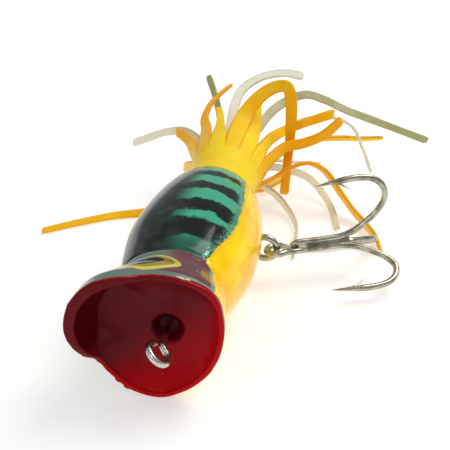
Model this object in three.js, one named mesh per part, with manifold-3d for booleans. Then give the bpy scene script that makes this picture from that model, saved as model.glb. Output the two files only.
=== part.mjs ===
// A topwater popper: a hollow moulded body with a cupped mouth, a two-layer rubber skirt on its tail,
// and a treble hook that swings on a screw eye in its belly.
// Millimetres, +Z up. The lure lies on its side with its nose to -Y, standing on z = 0, and the origin
// is under the middle of the whole lure.
// Inside the body's own group, +X is the belly, +Y the tail and +Z the left flank, which faces up.

import * as THREE from 'three';
import { mergeVertices } from 'three/addons/utils/BufferGeometryUtils.js';
import Module from 'manifold-3d';

const wasm = await Module();
wasm.setup();

const { degToRad, lerp, smoothstep } = THREE.MathUtils;

// ---- Driving dimensions ----

const axisHeight = 10.8;          // line-tie axis above the ground
const roll = degToRad(25);        // how far the belly is turned below level
const clearance = 0.3;            // gap between pieces that touch
const seamGap = 0.3;              // gap between the two shells

// Body sections: distance along the axis, then the radius to the belly, back and flank.
const neckY = 9.5;
const sections = [
  [neckY, 7.2, 9.3, 8.4],
  [15, 8.5, 10.2, 9.3],
  [22, 9.8, 10.9, 10.1],
  [29, 9.9, 10.4, 10.0],
  [36, 8.9, 9.1, 8.9],
  [39.5, 7.9, 7.9, 7.9],
  [41.5, 6.8, 6.7, 6.8],
  [43, 5.2, 5.1, 5.2],
];
const bodyEndY = 43;
const stem = { radius: 2.7, endY: 47.8, rib: 3.1, ribY: 46.3 };
const wall = 1.6;
const cavity = { startY: 13, endY: 38.6 };

// Mouth outline: angle from the belly, radius from the axis, and how far the rim stands behind the jaw.
const mouthOutline = [
  [0, 8.3, -0.4],
  [27, 8.7, -0.1],
  [51, 9.7, 0.2],
  [67, 10.7, 0.3],
  [83, 11.0, 0.2],
  [101, 10.9, 0],
  [116, 10.9, 0],
  [131, 11.2, -0.3],
  [140, 12.2, -1.5],
  [151, 13.4, -2.3],
  [162, 14.2, -2.6],
  [180, 14.6, -2.6],
];
const lipBead = 1.3;              // thickness of the rounded rim
const cup = { floorY: 3.0, floorShare: 0.74 };
const lineTieRecess = { radius: 1.9, depth: 1.6 };

// Screw eyes: the line tie in the mouth and the hook eye in the belly.
const screwEye = { wire: 1.1, flat: 1.0, flatDepth: 0.1 };
const lineTie = { outside: 4.6, ringY: -3.2, shaftEndY: 15, turn: degToRad(18) };
const bellyEye = { outside: 5.2, y: 35.3, standOff: 1.6, shaftLength: 8, pocketDepth: 1.4, bossRadius: 2.4 };

// Pegs of the left shell that sit in posts of the right one, on a line a little to the back of the axis.
const pegs = { ys: [14.5, 26, 36], x: -3, radius: 0.9, length: 4.4, postRadius: 2.2 };

// Treble: everything is measured from the middle of its eye, along the shank and out from it.
const treble = {
  wire: 1.1,
  eyeInside: 2.3,
  eyeLift: 0.1,
  shankSpread: 0.62,
  doubleShare: 0.88,              // spread of the two hooks of the double wire, as a share of the single one
  height: 5.95,
};
const hookRun = [
  [3, 0], [7.5, 0], [11.1, 0.1], [13.3, 0.7], [15.5, 2.1], [17.7, 4],
  [19, 6.3], [18.6, 8.4], [16.9, 9.9], [14.3, 10.4], [10.7, 10.2], [7.1, 9.8],
];
// The treble lies with its shank turned toward the tail, its bend a little raised and one hook low.
const hookYaw = degToRad(22);
const hookRise = degToRad(2);
const hookSpin = degToRad(-6);
const barb = { from: [10.4, 10.1], tip: [13.1, 8.4], radius: 0.36 };

// Skirt: two rubber tubes over the stem, each slit from its rear end into strands.
// A strand leaves its tube's end at an angle about the axis (0 toward +X, 90 up), then follows its points.
const skirtY = [43.3, 53];
const outerTube = { inside: 4.5, startRadius: 5.3, endRadius: 6.4, strandThickness: 0.8 };
const innerTube = { inside: 3.4, startRadius: 4.2, endRadius: 4.9, strandThickness: 0.7 };
const strandTaper = 0.4;          // share of its width that a strand loses toward its tip

const outerStrands = [
  { name: 'arch', angle: 78, width: 2.2,
    points: [[1.7, 60, 17.8], [2.6, 62.4, 19.1], [4.6, 64.3, 21.1], [7.1, 65, 22.6], [9.2, 64.5, 23],
      [10, 64, 21.1], [10.2, 63.5, 15.9], [9.8, 63.5, 8.6], [9.3, 63.4, 1.4]] },
  { name: 'upper_rear', angle: 53, width: 2.4,
    points: [[3.8, 62, 16], [3.4, 65.4, 17.6], [3, 68.4, 19]] },
  { name: 'upper_left', angle: 106, width: 2.6, points: [[-2.6, 61.6, 17.2], [-3.4, 64.4, 17.9]] },
  { name: 'rear_left', angle: 134, width: 2.4,
    points: [[-5.2, 61, 15.2], [-6.2, 65, 15.4], [-5.6, 68.4, 16.8], [-4.2, 71, 17.8], [-2.6, 73.6, 18.6]] },
  { name: 'short_left', angle: 162, width: 2.3,
    points: [[-8.4, 60.5, 12.6], [-10.2, 63, 12.4], [-11.6, 65, 12]] },
  { name: 'left_floor', angle: 211, width: 1.8,
    points: [[-7.8, 57, 3.9], [-10.8, 55.4, 1.4], [-15, 53.2, 0.8], [-20.4, 51.2, 0.7], [-26, 48, 0.6],
      [-32.3, 43.5, 0.6]] },
  { name: 'right_pale', angle: 28, width: 2.2,
    points: [[6.6, 62, 13.4], [9, 66, 13.6], [12.5, 66.8, 15], [17.6, 69, 16.3]] },
  { name: 'right_short', angle: 3, width: 2.3,
    points: [[9.4, 60.6, 12.6], [13, 62, 13.2], [16.4, 62.6, 14.8], [19.4, 64.6, 17.2]] },
  { name: 'right_long', angle: 339, width: 2,
    points: [[7.2, 62.4, 8.9], [9.4, 66, 9.6], [13, 67.6, 11], [19, 69.6, 11], [22.6, 72, 10],
      [26.6, 75, 9]] },
  { name: 'hook_side', angle: 313, width: 2.3,
    points: [[7.8, 59.6, 6.7], [10.9, 60.4, 8.8], [14, 61, 9.6], [17, 61.4, 8], [19.8, 60.6, 4.6],
      [22.8, 57.8, 2.2], [26, 53.8, 1.1], [28, 50, 0.8], [28.6, 46.6, 0.8]] },
  { name: 'under_right', angle: 286, width: 2.3,
    points: [[2.6, 60.6, 3.2], [4.4, 64.4, 1.1], [7.2, 69, 0.8], [9.6, 75, 0.8]] },
  { name: 'under_middle', angle: 260, width: 2.3,
    points: [[-1.6, 61, 3], [-2.2, 66, 0.8], [-1.6, 72, 0.6], [-2.8, 79, 0.6]] },
  { name: 'under_left', angle: 235, width: 2.1,
    points: [[-5, 61, 3.2], [-5.6, 65.4, 1.1], [-5.6, 70, 0.8], [-5.5, 74.5, 0.8]] },
  { name: 'low_left', angle: 189, width: 1.8,
    points: [[-8.8, 60.6, 7.2], [-10, 65.4, 3], [-9.8, 70, 1.1], [-9.6, 74.4, 0.9]] },
];

const innerStrands = [
  { name: 'plume', angle: 98, width: 2.3,
    points: [[-0.8, 62, 15.2], [-0.8, 66, 17.4], [0.2, 69.6, 19.6], [3.6, 71.4, 21.6], [8, 71.6, 22.6],
      [11.4, 70.6, 22.6]] },
  { name: 'upright', angle: 134, width: 1.6,
    points: [[-3.4, 62, 13], [-3.8, 68, 13.4], [-5.6, 73.4, 15.6], [-7.6, 76.6, 18.8]] },
  { name: 'left', angle: 170, width: 2,
    points: [[-6.4, 62, 11.6], [-10, 65.4, 12], [-14.4, 67, 10.7], [-18, 68, 8.7], [-21, 68, 7.3]] },
  { name: 'long_right', angle: 62, width: 2,
    points: [[3.4, 62.6, 13.8], [6.2, 67.4, 16.6], [9.1, 70, 18], [12.1, 71, 18.8], [15.3, 71.2, 18],
      [19.5, 71.6, 16], [26, 74, 12.7], [35.2, 76, 8.7]] },
  { name: 'front_floor', angle: 303, width: 1.4,
    points: [[4.2, 61, 4.6], [8, 60.4, 2.8], [11, 57.4, 1.2], [13, 52.6, 0.8], [13.5, 47, 0.7],
      [13.6, 42.4, 0.7]] },
  { name: 'middle_floor', angle: 350, width: 1.5,
    points: [[5.8, 62.4, 7.4], [9.4, 66.2, 5.2], [13.6, 66.8, 3.4], [17, 63.8, 1.4], [19, 59, 0.8],
      [20.4, 53, 0.7]] },
  { name: 'thin_right', angle: 26, width: 1,
    points: [[5.6, 64, 12], [11, 70.4, 13.6], [16.4, 71.4, 14.4], [21, 70.4, 13.2], [23.3, 67, 10.7],
      [25.3, 65, 6.7]] },
  { name: 'rear', angle: 206, width: 2,
    points: [[-5, 63, 8.6], [-7.4, 69, 6], [-8.6, 74, 2.2], [-11, 80, 0.8]] },
  { name: 'rear_low', angle: 242, width: 2,
    points: [[-1.6, 63, 6.6], [-2, 68.6, 3.6], [1.2, 74, 1.6], [3.6, 80, 0.5]] },
  { name: 'rear_right', angle: 278, width: 2,
    points: [[2, 63, 7.2], [5.4, 69, 5.4], [9.6, 74.6, 2.6], [14.4, 79, 0.5]] },
];

const ROUND = 40;                 // points round the body
const bodySteps = 14;             // rings from the neck to the tail, closer together toward the tail

// ---- Colours ----

function finish(color, roughness, metalness = 0) {
  return new THREE.MeshStandardMaterial({ color, roughness, metalness });
}

const paintedShell = finish(0x2f7f62, 0.15);
const nickel = finish(0xb5b4a8, 0.3, 1);
const yellowRubber = finish(0xf2b310, 0.45);
const whiteRubber = finish(0xe6e2c4, 0.45);

// ---- Solids ----

// A closed solid through a run of rings that all have the same number of points.
function loft(rings) {
  const count = rings[0].length;
  const positions = rings.flat().flatMap((p) => [p.x, p.y, p.z]);
  const indices = [];
  for (let r = 0; r < rings.length - 1; r += 1) {
    for (let i = 0; i < count; i += 1) {
      const a = r * count + i;
      const b = r * count + ((i + 1) % count);
      indices.push(a, b, a + count, b, b + count, a + count);
    }
  }
  for (const [ringIndex, facing] of [[0, -1], [rings.length - 1, 1]]) {
    const middle = positions.length / 3;
    const centre = new THREE.Vector3();
    rings[ringIndex].forEach((p) => centre.addScaledVector(p, 1 / count));
    positions.push(centre.x, centre.y, centre.z);
    for (let i = 0; i < count; i += 1) {
      const a = ringIndex * count + i;
      const b = ringIndex * count + ((i + 1) % count);
      indices.push(...(facing > 0 ? [a, b, middle] : [b, a, middle]));
    }
  }
  const geometry = new THREE.BufferGeometry();
  geometry.setAttribute('position', new THREE.Float32BufferAttribute(positions, 3));
  geometry.setIndex(indices);
  return facingOut(geometry);
}

function signedVolume(geometry) {
  const position = geometry.getAttribute('position');
  const index = geometry.getIndex();
  const [a, b, c] = [new THREE.Vector3(), new THREE.Vector3(), new THREE.Vector3()];
  let volume = 0;
  for (let i = 0; i < index.count; i += 3) {
    a.fromBufferAttribute(position, index.getX(i));
    b.fromBufferAttribute(position, index.getX(i + 1));
    c.fromBufferAttribute(position, index.getX(i + 2));
    volume += a.dot(b.cross(c)) / 6;
  }
  return volume;
}

function facingOut(geometry) {
  if (signedVolume(geometry) < 0) {
    geometry.getIndex().array.reverse();
  }
  return geometry;
}

// A tube along a curve, with a radius that may change on the way.
function wireSolid(points, radiusAt, { steps = 24, sides = 8 } = {}) {
  const curve = new THREE.CatmullRomCurve3(points, false, 'centripetal');
  const frames = curve.computeFrenetFrames(steps, false);
  const rings = [];
  for (let s = 0; s <= steps; s += 1) {
    const centre = curve.getPointAt(s / steps);
    const radius = radiusAt(s / steps);
    const circle = [];
    for (let i = 0; i < sides; i += 1) {
      const turn = (2 * Math.PI * (i + 0.5)) / sides;
      circle.push(centre.clone()
        .addScaledVector(frames.normals[s], radius * Math.cos(turn))
        .addScaledVector(frames.binormals[s], radius * Math.sin(turn)));
    }
    rings.push(circle);
  }
  return loft(rings);
}

function toManifold(geometry) {
  const bare = geometry.clone();
  bare.deleteAttribute('normal');
  bare.deleteAttribute('uv');
  const merged = mergeVertices(bare, 1e-4);
  return new wasm.Manifold(new wasm.Mesh({
    numProp: 3,
    vertProperties: new Float32Array(merged.getAttribute('position').array),
    triVerts: new Uint32Array(merged.getIndex().array),
  }));
}

function toGeometry(solid) {
  const { vertProperties, triVerts } = solid.getMesh();
  const geometry = new THREE.BufferGeometry();
  geometry.setAttribute('position', new THREE.Float32BufferAttribute(vertProperties, 3));
  geometry.setIndex(Array.from(triVerts));
  return geometry;
}

function union(first, ...others) {
  return others.reduce((solid, other) => solid.add(toManifold(other)), toManifold(first));
}

// ---- Skirt ----

// A rubber tube that opens out toward its rear end.
function tubeGeometry(tube) {
  const [start, end] = skirtY;
  const thickness = tube.startRadius - tube.inside;
  const profile = [
    [tube.inside, start], [tube.startRadius, start], [tube.startRadius + 0.1, lerp(start, end, 0.45)],
    [tube.endRadius, end], [tube.endRadius - thickness, end], [tube.inside, lerp(start, end, 0.5)],
    [tube.inside, start],
  ];
  return new THREE.LatheGeometry(profile.map(([r, y]) => new THREE.Vector2(r, y)), 28);
}

// A flat strip of rubber along a smooth curve, narrowing to its tip.
function strandGeometry(tube, { angle, width, points }) {
  const out = new THREE.Vector3(Math.cos(degToRad(angle)), 0, Math.sin(degToRad(angle)));
  const radius = tube.endRadius - tube.strandThickness / 2;
  const start = out.clone().multiplyScalar(radius).setY(skirtY[1] + clearance);
  start.z += axisHeight;
  const lead = start.clone().addScaledVector(out, 0.2).setY(start.y + 1.4);
  const way = [start, lead, ...points.map((p) => new THREE.Vector3(...p))];
  const curve = new THREE.CatmullRomCurve3(way, false, 'centripetal');
  const steps = Math.round(curve.getLength() / 2.6) + 2;
  const normal = out.clone();
  const rings = [];
  for (let s = 0; s <= steps; s += 1) {
    const t = s / steps;
    const forward = curve.getTangentAt(t);
    normal.addScaledVector(forward, -normal.dot(forward)).normalize();
    const side = forward.clone().cross(normal);
    const halfWidth = (width / 2) * (1 - strandTaper * t ** 2);
    const halfThickness = (tube.strandThickness / 2) * (1 - 0.25 * t);
    rings.push([[-1, -1], [1, -1], [1, 1], [-1, 1]].map(([a, b]) => curve.getPointAt(t)
      .addScaledVector(side, a * halfWidth)
      .addScaledVector(normal, b * halfThickness)));
  }
  return loft(rings);
}

// ---- Body shape ----

// The value of one column of a table at a place between its rows, on a smooth curve through them.
function along(table, column, place) {
  const last = table.length - 1;
  const at = THREE.MathUtils.clamp(place, table[0][0], table[last][0]);
  let k = 0;
  while (k < last - 1 && at > table[k + 1][0]) {
    k += 1;
  }
  const slope = (i) => {
    const low = table[Math.max(i - 1, 0)];
    const high = table[Math.min(i + 1, last)];
    return (high[column] - low[column]) / (high[0] - low[0]);
  };
  const span = table[k + 1][0] - table[k][0];
  const t = (at - table[k][0]) / span;
  const rise = table[k + 1][column] - table[k][column];
  const bend = t * (1 - t) * ((1 - t) * (slope(k) * span - rise) - t * (slope(k + 1) * span - rise));
  return table[k][column] + t * rise + bend;
}

// Radius of the body at an angle from the belly, less an inset.
function bodyRadius(y, angle, inset = 0) {
  const across = along(sections, Math.cos(angle) > 0 ? 1 : 2, y) - inset;
  const flank = along(sections, 3, y) - inset;
  return 1 / Math.hypot(Math.cos(angle) / across, Math.sin(angle) / flank);
}

const polar = (radius, angle, y) => new THREE.Vector3(radius * Math.cos(angle), y, radius * Math.sin(angle));
const ringAngles = Array.from({ length: ROUND }, (_, i) => (2 * Math.PI * i) / ROUND);

function mouthAt(angle) {
  const fromBelly = THREE.MathUtils.radToDeg(Math.acos(Math.cos(angle)));
  return { radius: along(mouthOutline, 1, fromBelly), y: along(mouthOutline, 2, fromBelly) };
}

// The outside of the head, from the rim back to the neck.
function headRing(share) {
  return ringAngles.map((angle) => {
    const rim = mouthAt(angle);
    const flare = 1 - smoothstep(share, 0, 1);
    const radius = lerp(bodyRadius(neckY, angle), rim.radius, flare);
    return polar(radius, angle, lerp(rim.y + lipBead / 2, neckY, share));
  });
}

const bodyRing = (y) => ringAngles.map((angle) => polar(bodyRadius(y, angle), angle, y));
const roundRing = (radius, y) => ringAngles.map((angle) => polar(radius, angle, y));

// One step of the rounded rim, by its turn from the outside (0) over the front to the inside (180 degrees).
function rimRing(turn) {
  const bead = lipBead / 2;
  return ringAngles.map((angle) => {
    const rim = mouthAt(angle);
    return polar(rim.radius - bead + bead * Math.cos(turn), angle, rim.y + bead - bead * Math.sin(turn));
  });
}

// Inside the mouth: share 0 is the inner edge of the rim and share 1 the edge of the flat floor.
function cupRing(share) {
  return ringAngles.map((angle) => {
    const rim = mouthAt(angle);
    const edge = rim.radius - lipBead;
    const radius = lerp(edge, rim.radius * cup.floorShare, share ** 2);
    return polar(radius, angle, lerp(rim.y + lipBead / 2, cup.floorY, Math.sin((share * Math.PI) / 2)));
  });
}

function floorRing(share) {
  return ringAngles.map((angle) => polar(mouthAt(angle).radius * cup.floorShare * share, angle, cup.floorY));
}

function bodySolid() {
  const rings = [floorRing(0.3), floorRing(0.7), cupRing(1), cupRing(0.66), cupRing(0.33)];
  [180, 120, 60, 0].forEach((turn) => rings.push(rimRing(degToRad(turn))));
  [0.2, 0.35, 0.5, 0.65, 0.8, 0.92].forEach((share) => rings.push(headRing(share)));
  for (let step = 0; step <= bodySteps; step += 1) {
    const share = Math.sin((step / bodySteps) * (Math.PI / 2));
    rings.push(bodyRing(lerp(neckY, bodyEndY, share)));
  }
  rings.push(roundRing(stem.radius, bodyEndY + 0.2));
  rings.push(roundRing(stem.radius, stem.ribY - 1.2));
  rings.push(roundRing(stem.rib, stem.ribY));
  rings.push(roundRing(stem.radius, stem.endY));
  return toManifold(loft(rings));
}

function cavitySolid() {
  const rings = [];
  const steps = 8;
  for (let s = 0; s <= steps; s += 1) {
    const y = lerp(cavity.startY, cavity.endY, s / steps);
    const shrink = s === 0 || s === steps ? 2.5 : 0;
    rings.push(ringAngles.map((angle) => polar(bodyRadius(y, angle, wall + shrink), angle, y)));
  }
  return toManifold(loft(rings));
}

function cylinder(radius, length, { sides = 16, axis = 'y' } = {}) {
  const geometry = new THREE.CylinderGeometry(radius, radius, length, sides);
  if (axis === 'x') {
    geometry.rotateZ(Math.PI / 2);
  }
  if (axis === 'z') {
    geometry.rotateX(Math.PI / 2);
  }
  return geometry;
}

// ---- Screw eyes ----

const eyeMiddle = (eye) => (eye.outside - screwEye.wire) / 2;

// A wire ring about Z at the origin on a shaft that runs along +Y, with a small flat on its far side.
function screwEyeGeometry(eye, shaftEnd) {
  const middle = eyeMiddle(eye);
  const loop = new THREE.TorusGeometry(middle, screwEye.wire / 2, 8, 24);
  const shaft = cylinder(screwEye.wire / 2, shaftEnd - middle, { sides: 12 });
  shaft.translate(0, (shaftEnd + middle) / 2, 0);
  const cutter = 2 * screwEye.flat;
  const flat = new THREE.BoxGeometry(cutter, cutter, cutter);
  flat.translate(0, screwEye.flatDepth - eye.outside / 2 - cutter / 2, 0);
  return toGeometry(union(loop, shaft).subtract(toManifold(flat)));
}

// ---- Shells ----

const bellyAt = (y) => bodyRadius(y, 0);

// The whole body with its holes for the two screw eyes, before it is split.
function drilledBody() {
  let body = bodySolid();
  let hollow = cavitySolid();
  const bossLength = bellyEye.shaftLength + 4;
  const boss = cylinder(bellyEye.bossRadius, bossLength, { axis: 'x' });
  boss.translate(bellyAt(bellyEye.y) + 2 - bossLength / 2, bellyEye.y, 0);
  hollow = hollow.subtract(toManifold(boss));
  for (const y of pegs.ys) {
    const post = cylinder(pegs.postRadius, 30, { axis: 'z' });
    post.translate(pegs.x, y, 0);
    hollow = hollow.subtract(toManifold(post));
  }
  body = body.subtract(hollow);
  const tieHole = cylinder(screwEye.wire / 2 + clearance, 20);
  tieHole.translate(0, lineTie.shaftEndY + clearance - 10, 0);
  const recess = new THREE.CylinderGeometry(lineTieRecess.radius, 1, lineTieRecess.depth + 0.4, 20);
  recess.rotateX(Math.PI);
  recess.translate(0, cup.floorY + lineTieRecess.depth / 2 - 0.2, 0);
  body = body.subtract(toManifold(tieHole)).subtract(toManifold(recess));
  const eyeHole = cylinder(screwEye.wire / 2 + clearance, bellyEye.shaftLength + 2, { axis: 'x' });
  eyeHole.translate(bellyAt(bellyEye.y) - bellyEye.shaftLength / 2 + 0.6, bellyEye.y, 0);
  const pocket = cylinder(bellyEye.outside / 2 + clearance, 4, { axis: 'x', sides: 24 });
  pocket.translate(bellyAt(bellyEye.y) + 2 - bellyEye.pocketDepth, bellyEye.y, 0);
  body = body.subtract(toManifold(eyeHole)).subtract(toManifold(pocket));
  return body;
}

// Half of the body on one side of the seam, with the pegs or the sockets that line it up with the other.
function shellGeometry(body, side) {
  const half = new THREE.BoxGeometry(60, 120, 40);
  half.translate(0, 20, side * (20 + seamGap / 2));
  let shell = body.intersect(toManifold(half));
  const hasPegs = side > 0;
  const slack = hasPegs ? 0 : clearance;
  for (const y of pegs.ys) {
    const peg = cylinder(pegs.radius + slack, pegs.length + 2 * slack, { axis: 'z', sides: 12 });
    peg.translate(pegs.x, y, 0);
    shell = hasPegs ? shell.add(toManifold(peg)) : shell.subtract(toManifold(peg));
  }
  return toGeometry(shell);
}

// ---- Treble ----

// A point this far along the shank and this far out from it, turned about the shank.
function spin(forward, out, degrees) {
  const turn = degToRad(degrees);
  return new THREE.Vector3(forward, -out * Math.sin(turn), out * Math.cos(turn));
}

// The wire of one hook from its shank round to the point, turned about the shank.
function hookPoints(degrees, share, offset) {
  return hookRun.map(([forward, out]) => spin(forward, out * share, degrees).add(offset));
}

function barbGeometry(degrees, share, offset) {
  const start = spin(barb.from[0], barb.from[1] * share, degrees).add(offset);
  const tip = spin(barb.tip[0], barb.tip[1] * share, degrees).add(offset);
  const length = start.distanceTo(tip);
  const cone = new THREE.ConeGeometry(barb.radius, length, 6);
  cone.translate(0, length / 2, 0);
  const turn = new THREE.Quaternion().setFromUnitVectors(
    new THREE.Vector3(0, 1, 0),
    tip.clone().sub(start).normalize(),
  );
  return cone.applyQuaternion(turn).translate(start.x, start.y, start.z);
}

const pointTaper = (t) => (treble.wire / 2) * (t < 0.84 ? 1 : lerp(1, 0.12, (t - 0.84) / 0.16));

// One bent wire: a hook, its shank, the eye and back along the shank to the second hook.
function doubleHookGeometry() {
  const middle = (treble.eyeInside + treble.wire) / 2;
  const offsets = [120, 240].map((degrees) => spin(0, treble.shankSpread, degrees));
  const share = treble.doubleShare;
  const first = hookPoints(120, share, offsets[0]).reverse();
  const second = hookPoints(240, share, offsets[1]);
  const eye = [-125, -62, 0, 62, 125].map((degrees) => new THREE.Vector3(
    -middle * Math.cos(degToRad(degrees)),
    middle * Math.sin(degToRad(degrees)),
    treble.eyeLift,
  ));
  const wire = [...first, ...eye, ...second];
  const bothEnds = (t) => pointTaper(Math.abs(2 * t - 1));
  const solid = union(
    wireSolid(wire, bothEnds, { steps: 84 }),
    barbGeometry(120, share, offsets[0]),
    barbGeometry(240, share, offsets[1]),
  );
  return toGeometry(solid);
}

function singleHookGeometry() {
  const offset = spin(0, treble.shankSpread + clearance, 0);
  const wire = wireSolid(hookPoints(0, 1, offset), pointTaper, { steps: 38 });
  return toGeometry(union(wire, barbGeometry(0, 1, offset)));
}

// ---- Assembly ----

const lure = new THREE.Group();

function add(parent, name, geometry, material) {
  const mesh = new THREE.Mesh(geometry, material);
  mesh.name = name;
  parent.add(mesh);
  return mesh;
}

const body = new THREE.Group();
body.position.z = axisHeight;
body.rotation.y = roll;
lure.add(body);

const whole = drilledBody();
add(body, 'left_shell', shellGeometry(whole, 1), paintedShell);
add(body, 'right_shell', shellGeometry(whole, -1), paintedShell);
const tieGeometry = screwEyeGeometry(lineTie, lineTie.shaftEndY - lineTie.ringY);
const tie = add(body, 'line_tie_screw_eye', tieGeometry, nickel);
tie.position.y = lineTie.ringY;
tie.rotation.y = lineTie.turn;

// The belly eye stands across the body, so its ring is square to the axis and its shaft points inwards.
const bellyEyeX = bellyAt(bellyEye.y) + bellyEye.standOff;
const hookEye = add(body, 'belly_screw_eye', screwEyeGeometry(bellyEye, bellyEye.shaftLength), nickel);
hookEye.position.set(bellyEyeX, bellyEye.y, 0);
hookEye.rotation.set(-Math.PI / 2, 0, Math.PI / 2);

// The treble hangs on the outer wire of the belly eye.
const ringMiddle = new THREE.Vector3(bellyEyeX, bellyEye.y, 0).applyEuler(body.rotation).add(body.position);
const hookGroup = new THREE.Group();
hookGroup.position.set(ringMiddle.x + eyeMiddle(bellyEye), ringMiddle.y, treble.height);
hookGroup.rotation.set(hookSpin, -hookRise, hookYaw, 'ZYX');
lure.add(hookGroup);
add(hookGroup, 'treble_double_wire', doubleHookGeometry(), nickel);
add(hookGroup, 'treble_single_wire', singleHookGeometry(), nickel);

const outerSkirt = add(lure, 'skirt_outer_tube', tubeGeometry(outerTube), yellowRubber);
const innerSkirt = add(lure, 'skirt_inner_tube', tubeGeometry(innerTube), whiteRubber);
outerSkirt.position.z = axisHeight;
innerSkirt.position.z = axisHeight;
for (const strand of outerStrands) {
  add(lure, `outer_strand_${strand.name}`, strandGeometry(outerTube, strand), yellowRubber);
}
for (const strand of innerStrands) {
  add(lure, `inner_strand_${strand.name}`, strandGeometry(innerTube, strand), whiteRubber);
}

// The lure is moved so that the origin is under its middle.
const box = new THREE.Box3().setFromObject(lure, true);
lure.position.set(-(box.min.x + box.max.x) / 2, -(box.min.y + box.max.y) / 2, -box.min.z);

export default lure;
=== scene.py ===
import math

import bpy
import numpy as np
from mathutils import Matrix, Vector


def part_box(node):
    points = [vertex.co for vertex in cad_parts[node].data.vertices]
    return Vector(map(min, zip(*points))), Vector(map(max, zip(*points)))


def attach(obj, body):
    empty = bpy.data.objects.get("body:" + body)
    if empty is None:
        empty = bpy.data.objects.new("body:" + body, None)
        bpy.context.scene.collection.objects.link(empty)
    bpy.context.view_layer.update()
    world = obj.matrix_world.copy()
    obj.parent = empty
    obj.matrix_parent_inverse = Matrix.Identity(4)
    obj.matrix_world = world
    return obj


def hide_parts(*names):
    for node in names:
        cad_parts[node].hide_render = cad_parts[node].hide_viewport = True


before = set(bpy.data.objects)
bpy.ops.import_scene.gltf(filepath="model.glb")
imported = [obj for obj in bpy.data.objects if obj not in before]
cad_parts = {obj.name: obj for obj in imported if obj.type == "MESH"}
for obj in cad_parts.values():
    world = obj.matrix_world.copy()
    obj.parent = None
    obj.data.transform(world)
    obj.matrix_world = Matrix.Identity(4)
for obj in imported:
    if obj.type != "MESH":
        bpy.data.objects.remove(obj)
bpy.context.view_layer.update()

# ---- Driving dimensions, in millimetres, along the lure's own axes ----
# x points to the side that the belly is turned to, y to the tail and z up, with y = 0 at the jaw and
# z = 0 on the ground. In the body's own axes, x is the belly, y the tail and z the left flank.

MM = 0.001
AXIS_HEIGHT = 10.8
STEM_END = 47.8
STEM_RADIUS = 2.7
ROLL = math.radians(25)

NECK = 9.5
BODY_END = 43
SECTIONS = [  # distance along the axis, then the radius to the belly, back and flank
    (NECK, 7.2, 9.3, 8.4), (15, 8.5, 10.2, 9.3), (22, 9.8, 10.9, 10.1), (29, 9.9, 10.4, 10.0),
    (36, 8.9, 9.1, 8.9), (39.5, 7.9, 7.9, 7.9), (41.5, 6.8, 6.7, 6.8), (BODY_END, 5.2, 5.1, 5.2),
]
MOUTH = [  # angle from the belly, radius of the rim, and how far the rim stands behind the jaw
    (0, 8.3, -0.4), (27, 8.7, -0.1), (51, 9.7, 0.2), (67, 10.7, 0.3), (83, 11.0, 0.2), (101, 10.9, 0),
    (116, 10.9, 0), (131, 11.2, -0.3), (140, 12.2, -1.5), (151, 13.4, -2.3), (162, 14.2, -2.6),
    (180, 14.6, -2.6),
]
CREASE = [(0, 6.5), (40, 7.5), (60, 8.9), (73, 9.8), (90, 10.8), (110, 11.1), (140, 10.8), (180, 10.9)]
FLOOR_Y = 3.0
RECESS = [(0.3, 1.95), (0.9, 1.9), (1.35, 1.8), (1.7, 1.35), (2.05, 0.75), (2.4, 0.25), (2.7, 0.06)]

LIP_CORNER = 0.35
EYE = {"y": 5.3, "angle": 134, "radius": 6.1}
PUPIL = {"y": 5.5, "angle": 140, "radius": 4.2}
AMBER_DOT = {"y": 5.9, "angle": 118.5, "radius": 0.9}
EYE_DOME = 0.45
EYE_SQUASH = 0.6
EYE_ARM = 12.0

WIRE = 1.1
LINE_TIE = {"outside": 4.6, "y": -3.2, "shaft_end": 15, "turn": math.radians(18)}
BELLY_EYE = {"outside": 5.2, "y": 35.3, "stand_off": 1.6, "shaft": 8}

TREBLE = {"eye_inside": 2.3, "eye_lift": 0.1, "spread": 0.62, "double_share": 0.88, "height": 5.95}
HOOK_RUN = [
    (3, 0), (7.5, 0), (11.1, 0.1), (13.3, 0.7), (15.5, 2.1), (17.7, 4),
    (19, 6.3), (18.6, 8.4), (16.9, 9.9), (14.3, 10.4), (10.7, 10.2), (7.1, 9.8),
]
HOOK_YAW, HOOK_RISE, HOOK_SPIN = math.radians(22), math.radians(2), math.radians(-6)
BARB = {"from": (10.4, 10.1), "tip": (13.1, 8.4)}
BRAZE = {"start": 3.4, "length": 9.4, "lift": 0.14}

SKIRT_START, SKIRT_END = 43.3, 53.0
ROOT_Y = 53.3
WIDEST_GUSSET = 30  # degrees round the tube
# Each tube's radii and wall, the height of its rolled collar, where its wall ends, where its gussets begin
# and how deep its tone of painted shade is.
OUTER = {"start": 5.3, "end": 6.4, "thick": 0.8, "collar": 0.3, "end_y": 52.6, "gusset_y": 50.6, "tone": 0.3}
INNER = {"start": 4.2, "end": 4.9, "thick": 0.7, "collar": 0.0, "end_y": 52.8, "gusset_y": 51.4, "tone": 0.4}
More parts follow.
